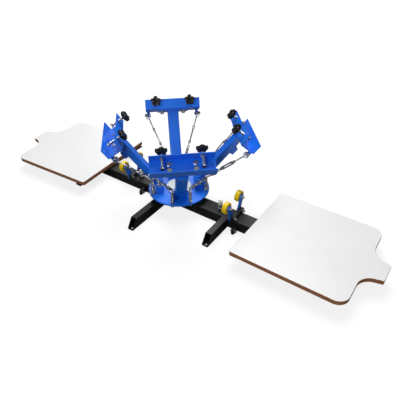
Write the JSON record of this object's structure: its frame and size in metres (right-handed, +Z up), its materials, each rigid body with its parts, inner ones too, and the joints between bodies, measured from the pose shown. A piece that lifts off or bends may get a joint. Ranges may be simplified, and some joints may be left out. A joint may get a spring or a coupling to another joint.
{
  "type": "tabletop screen printing press",
  "caption": "Tabletop carousel press whose sprung arms hold print screens and swing down between guide rollers onto flat pallets fixed on a beam.",
  "frame": {"origin": "on the table under the carousel's spindle, at the underside of the beam", "axes": "+X along the beam towards the right pallet, +Y away from the viewer, +Z up"},
  "size_m": [1.8541, 0.6161, 0.4264],
  "materials": {
    "blue_paint": "gloss enamel",
    "black_powder_coat": "semi-gloss powder coat",
    "zinc_plated_steel": "bright zinc plate",
    "spring_steel": "bright drawn wire",
    "bearing_steel": "ground",
    "white_nylon": "moulded, off-white",
    "cream_plastic": "moulded, pale cream",
    "yellow_nylon": "glossy yellow",
    "black_plastic": "moulded, semi-gloss; its screw is steel",
    "white_laminate": "white melamine faces on board with a brown edge"
  },
  "bodies": {
    "base": {"beam_center": "black_powder_coat", "beam_left": "black_powder_coat", "beam_right": "black_powder_coat", "beam_bolts": "zinc_plated_steel", "feet": "black_powder_coat", "stop_bolts": "zinc_plated_steel", "stop_caps": "white_nylon", "gate_blocks": "black_powder_coat", "roller_brackets": "blue_paint", "roller_bolts": "zinc_plated_steel", "hub_spindle": "zinc_plated_steel", "thrust_bearing": "bearing_steel"},
    "carousel": {"carousel_disc": "blue_paint", "hub_cap": "cream_plastic", "hinge_pins": "zinc_plated_steel", "anchor_posts": "zinc_plated_steel"},
    "arm_back": {"arm_back": "blue_paint", "clamp_back": "blue_paint", "arm_fasteners_back": "zinc_plated_steel"},
    "springs_back": {"springs_back": "spring_steel"},
    "turnbuckles_back": {"turnbuckles_back": "zinc_plated_steel"},
    "pad_back_left": {"foot_pad_back_left": "zinc_plated_steel"},
    "knob_back_left": {"knob_back_left": "black_plastic"},
    "pad_back_right": {"foot_pad_back_right": "zinc_plated_steel"},
    "knob_back_right": {"knob_back_right": "black_plastic"},
    "arm_left": {"arm_left": "blue_paint", "clamp_left": "blue_paint", "arm_fasteners_left": "zinc_plated_steel"},
    "springs_left": {"springs_left": "spring_steel"},
    "turnbuckles_left": {"turnbuckles_left": "zinc_plated_steel"},
    "pad_left_near": {"foot_pad_left_near": "zinc_plated_steel"},
    "knob_left_near": {"knob_left_near": "black_plastic"},
    "pad_left_far": {"foot_pad_left_far": "zinc_plated_steel"},
    "knob_left_far": {"knob_left_far": "black_plastic"},
    "arm_front": {"arm_front": "blue_paint", "clamp_front": "blue_paint", "arm_fasteners_front": "zinc_plated_steel"},
    "springs_front": {"springs_front": "spring_steel"},
    "turnbuckles_front": {"turnbuckles_front": "zinc_plated_steel"},
    "pad_front_right": {"foot_pad_front_right": "zinc_plated_steel"},
    "knob_front_right": {"knob_front_right": "black_plastic"},
    "pad_front_left": {"foot_pad_front_left": "zinc_plated_steel"},
    "knob_front_left": {"knob_front_left": "black_plastic"},
    "arm_right": {"arm_right": "blue_paint", "clamp_right": "blue_paint", "arm_fasteners_right": "zinc_plated_steel"},
    "springs_right": {"springs_right": "spring_steel"},
    "turnbuckles_right": {"turnbuckles_right": "zinc_plated_steel"},
    "pad_right_far": {"foot_pad_right_far": "zinc_plated_steel"},
    "knob_right_far": {"knob_right_far": "black_plastic"},
    "pad_right_near": {"foot_pad_right_near": "zinc_plated_steel"},
    "knob_right_near": {"knob_right_near": "black_plastic"},
    "roller_right_near": {"roller_right_near": "yellow_nylon"},
    "roller_right_far": {"roller_right_far": "yellow_nylon"},
    "roller_left_near": {"roller_left_near": "yellow_nylon"},
    "roller_left_far": {"roller_left_far": "yellow_nylon"},
    "pallet_bracket_right": {"pallet_bracket_right": "black_powder_coat"},
    "pallet_right": {"pallet_right": "white_laminate"},
    "pallet_bracket_left": {"pallet_bracket_left": "black_powder_coat"},
    "pallet_left": {"pallet_left": "white_laminate"}
  },
  "joints": [
    {"name": "carousel_spin", "type": "hinge", "parent": "base", "child": "carousel", "pos_m": [0, 0, 0.074], "axis": [0, 0, 1], "continuous": true},
    {"name": "arm_back_lower", "type": "hinge", "parent": "carousel", "child": "arm_back", "pos_m": [-0.05831, 0.06591, 0.1156], "axis": [-0.749, -0.6626, 0], "range_deg": [0, 56], "stiffness_Nm_per_rad": 6, "springref_deg": -57.3},
    {"name": "springs_back_swing", "type": "hinge", "parent": "carousel", "child": "springs_back", "pos_m": [-0.07753, 0.08763, 0.147], "axis": [-0.749, -0.6626, 0], "range_deg": [0, 64.3]},
    {"name": "springs_back_stretch", "type": "slide", "parent": "springs_back", "child": "turnbuckles_back", "axis": [-0.4175, 0.4719, 0.7765], "range_m": [0, 0.0207], "deforming": ["springs_back"]},
    {"name": "clamp_back_left_travel", "type": "slide", "parent": "arm_back", "child": "pad_back_left", "axis": [-0.5493, 0.6209, -0.5592], "range_m": [-0.0225, 0.0195]},
    {"name": "clamp_back_left_turn", "type": "hinge", "parent": "pad_back_left", "child": "knob_back_left", "pos_m": [-0.23491, 0.15233, 0.36091], "axis": [-0.5493, 0.6209, -0.5592], "range_deg": [-5402, 4682]},
    {"name": "clamp_back_right_travel", "type": "slide", "parent": "arm_back", "child": "pad_back_right", "axis": [-0.5493, 0.6209, -0.5592], "range_m": [-0.0245, 0.0175]},
    {"name": "clamp_back_right_turn", "type": "hinge", "parent": "pad_back_right", "child": "knob_back_right", "pos_m": [-0.12367, 0.25297, 0.35979], "axis": [-0.5493, 0.6209, -0.5592], "range_deg": [-5882, 4202]},
    {"name": "arm_left_lower", "type": "hinge", "parent": "carousel", "child": "arm_left", "pos_m": [-0.06591, -0.05831, 0.1156], "axis": [0.6626, -0.749, 0], "range_deg": [0, 56], "stiffness_Nm_per_rad": 6, "springref_deg": -57.3},
    {"name": "springs_left_swing", "type": "hinge", "parent": "carousel", "child": "springs_left", "pos_m": [-0.08763, -0.07753, 0.147], "axis": [0.6626, -0.749, 0], "range_deg": [0, 64.3]},
    {"name": "springs_left_stretch", "type": "slide", "parent": "springs_left", "child": "turnbuckles_left", "axis": [-0.4719, -0.4175, 0.7765], "range_m": [0, 0.0207], "deforming": ["springs_left"]},
    {"name": "clamp_left_near_travel", "type": "slide", "parent": "arm_left", "child": "pad_left_near", "axis": [-0.6209, -0.5493, -0.5592], "range_m": [-0.0305, 0.0115]},
    {"name": "clamp_left_near_turn", "type": "hinge", "parent": "pad_left_near", "child": "knob_left_near", "pos_m": [-0.1573, -0.2393, 0.35643], "axis": [-0.6209, -0.5493, -0.5592], "range_deg": [-7322, 2762]},
    {"name": "clamp_left_far_travel", "type": "slide", "parent": "arm_left", "child": "pad_left_far", "axis": [-0.6209, -0.5493, -0.5592], "range_m": [-0.0205, 0.0215]},
    {"name": "clamp_left_far_turn", "type": "hinge", "parent": "pad_left_far", "child": "knob_left_far", "pos_m": [-0.25048, -0.12147, 0.36203], "axis": [-0.6209, -0.5493, -0.5592], "range_deg": [-4922, 5162]},
    {"name": "arm_front_lower", "type": "hinge", "parent": "carousel", "child": "arm_front", "pos_m": [0.05831, -0.06591, 0.1156], "axis": [0.749, 0.6626, 0], "range_deg": [0, 56], "stiffness_Nm_per_rad": 6, "springref_deg": -57.3},
    {"name": "springs_front_swing", "type": "hinge", "parent": "carousel", "child": "springs_front", "pos_m": [0.07753, -0.08763, 0.147], "axis": [0.749, 0.6626, 0], "range_deg": [0, 64.3]},
    {"name": "springs_front_stretch", "type": "slide", "parent": "springs_front", "child": "turnbuckles_front", "axis": [0.4175, -0.4719, 0.7765], "range_m": [0, 0.0207], "deforming": ["springs_front"]},
    {"name": "clamp_front_right_travel", "type": "slide", "parent": "arm_front", "child": "pad_front_right", "axis": [0.5493, -0.6209, -0.5592], "range_m": [-0.0325, 0.0095]},
    {"name": "clamp_front_right_turn", "type": "hinge", "parent": "pad_front_right", "child": "knob_front_right", "pos_m": [0.2404, -0.15854, 0.35531], "axis": [0.5493, -0.6209, -0.5592], "range_deg": [-7802, 2282]},
    {"name": "clamp_front_left_travel", "type": "slide", "parent": "arm_front", "child": "pad_front_left", "axis": [0.5493, -0.6209, -0.5592], "range_m": [-0.0325, 0.0095]},
    {"name": "clamp_front_left_turn", "type": "hinge", "parent": "pad_front_left", "child": "knob_front_left", "pos_m": [0.12806, -0.25793, 0.35531], "axis": [0.5493, -0.6209, -0.5592], "range_deg": [-7802, 2282]},
    {"name": "arm_right_lower", "type": "hinge", "parent": "carousel", "child": "arm_right", "pos_m": [0.06591, 0.05831, 0.1156], "axis": [-0.6626, 0.749, 0], "range_deg": [0, 50], "stiffness_Nm_per_rad": 6, "springref_deg": -57.3},
    {"name": "springs_right_swing", "type": "hinge", "parent": "carousel", "child": "springs_right", "pos_m": [0.08763, 0.07753, 0.147], "axis": [-0.6626, 0.749, 0], "range_deg": [0, 56.9]},
    {"name": "springs_right_stretch", "type": "slide", "parent": "springs_right", "child": "turnbuckles_right", "axis": [0.541, 0.4786, 0.6915], "range_m": [0, 0.0211], "deforming": ["springs_right"]},
    {"name": "clamp_right_far_travel", "type": "slide", "parent": "arm_right", "child": "pad_right_far", "axis": [0.5737, 0.5076, -0.6428], "range_m": [-0.0265, 0.0155]},
    {"name": "clamp_right_far_turn", "type": "hinge", "parent": "pad_right_far", "child": "knob_right_far", "pos_m": [0.17308, 0.25327, 0.33799], "axis": [0.5737, 0.5076, -0.6428], "range_deg": [-6362, 3722]},
    {"name": "clamp_right_near_travel", "type": "slide", "parent": "arm_right", "child": "pad_right_near", "axis": [0.5737, 0.5076, -0.6428], "range_m": [-0.0145, 0.0275]},
    {"name": "clamp_right_near_turn", "type": "hinge", "parent": "pad_right_near", "child": "knob_right_near", "pos_m": [0.26559, 0.13484, 0.34571], "axis": [0.5737, 0.5076, -0.6428], "range_deg": [-3482, 6602]},
    {"name": "roller_right_near_spin", "type": "hinge", "parent": "base", "child": "roller_right_near", "pos_m": [0.2797, -0.0505, 0.114], "axis": [1, 0, 0], "continuous": true},
    {"name": "roller_right_far_spin", "type": "hinge", "parent": "base", "child": "roller_right_far", "pos_m": [0.2797, 0.0505, 0.114], "axis": [1, 0, 0], "continuous": true},
    {"name": "roller_left_near_spin", "type": "hinge", "parent": "base", "child": "roller_left_near", "pos_m": [-0.2797, -0.0505, 0.114], "axis": [1, 0, 0], "continuous": true},
    {"name": "roller_left_far_spin", "type": "hinge", "parent": "base", "child": "roller_left_far", "pos_m": [-0.2797, 0.0505, 0.114], "axis": [1, 0, 0], "continuous": true},
    {"name": "pallet_right_slide", "type": "slide", "parent": "base", "child": "pallet_bracket_right", "axis": [1, 0, 0], "range_m": [-0.02, 0.06]},
    {"name": "pallet_right_swivel", "type": "hinge", "parent": "pallet_bracket_right", "child": "pallet_right", "pos_m": [0.622, 0, 0.053], "axis": [0, 0, 1], "range_deg": [-4.5, 5.5]},
    {"name": "pallet_left_slide", "type": "slide", "parent": "base", "child": "pallet_bracket_left", "axis": [-1, 0, 0], "range_m": [-0.02, 0.06]},
    {"name": "pallet_left_swivel", "type": "hinge", "parent": "pallet_bracket_left", "child": "pallet_left", "pos_m": [-0.63, 0, 0.053], "axis": [0, 0, 1], "range_deg": [-8.3, 1.7]}
  ],
  "couplings": [
    {"joint": "springs_back_swing", "follows": "arm_back_lower", "ratio": 1.145},
    {"joint": "springs_back_stretch", "follows": "arm_back_lower", "m_per_rad": 0.021},
    {"joint": "clamp_back_left_turn", "follows": "clamp_back_left_travel", "rad_per_m": 4188.8},
    {"joint": "clamp_back_right_turn", "follows": "clamp_back_right_travel", "rad_per_m": 4188.8},
    {"joint": "springs_left_swing", "follows": "arm_left_lower", "ratio": 1.145},
    {"joint": "springs_left_stretch", "follows": "arm_left_lower", "m_per_rad": 0.021},
    {"joint": "clamp_left_near_turn", "follows": "clamp_left_near_travel", "rad_per_m": 4188.8},
    {"joint": "clamp_left_far_turn", "follows": "clamp_left_far_travel", "rad_per_m": 4188.8},
    {"joint": "springs_front_swing", "follows": "arm_front_lower", "ratio": 1.145},
    {"joint": "springs_front_stretch", "follows": "arm_front_lower", "m_per_rad": 0.021},
    {"joint": "clamp_front_right_turn", "follows": "clamp_front_right_travel", "rad_per_m": 4188.8},
    {"joint": "clamp_front_left_turn", "follows": "clamp_front_left_travel", "rad_per_m": 4188.8},
    {"joint": "springs_right_swing", "follows": "arm_right_lower", "ratio": 1.135},
    {"joint": "springs_right_stretch", "follows": "arm_right_lower", "m_per_rad": 0.024},
    {"joint": "clamp_right_far_turn", "follows": "clamp_right_far_travel", "rad_per_m": 4188.8},
    {"joint": "clamp_right_near_turn", "follows": "clamp_right_near_travel", "rad_per_m": 4188.8}
  ]
}
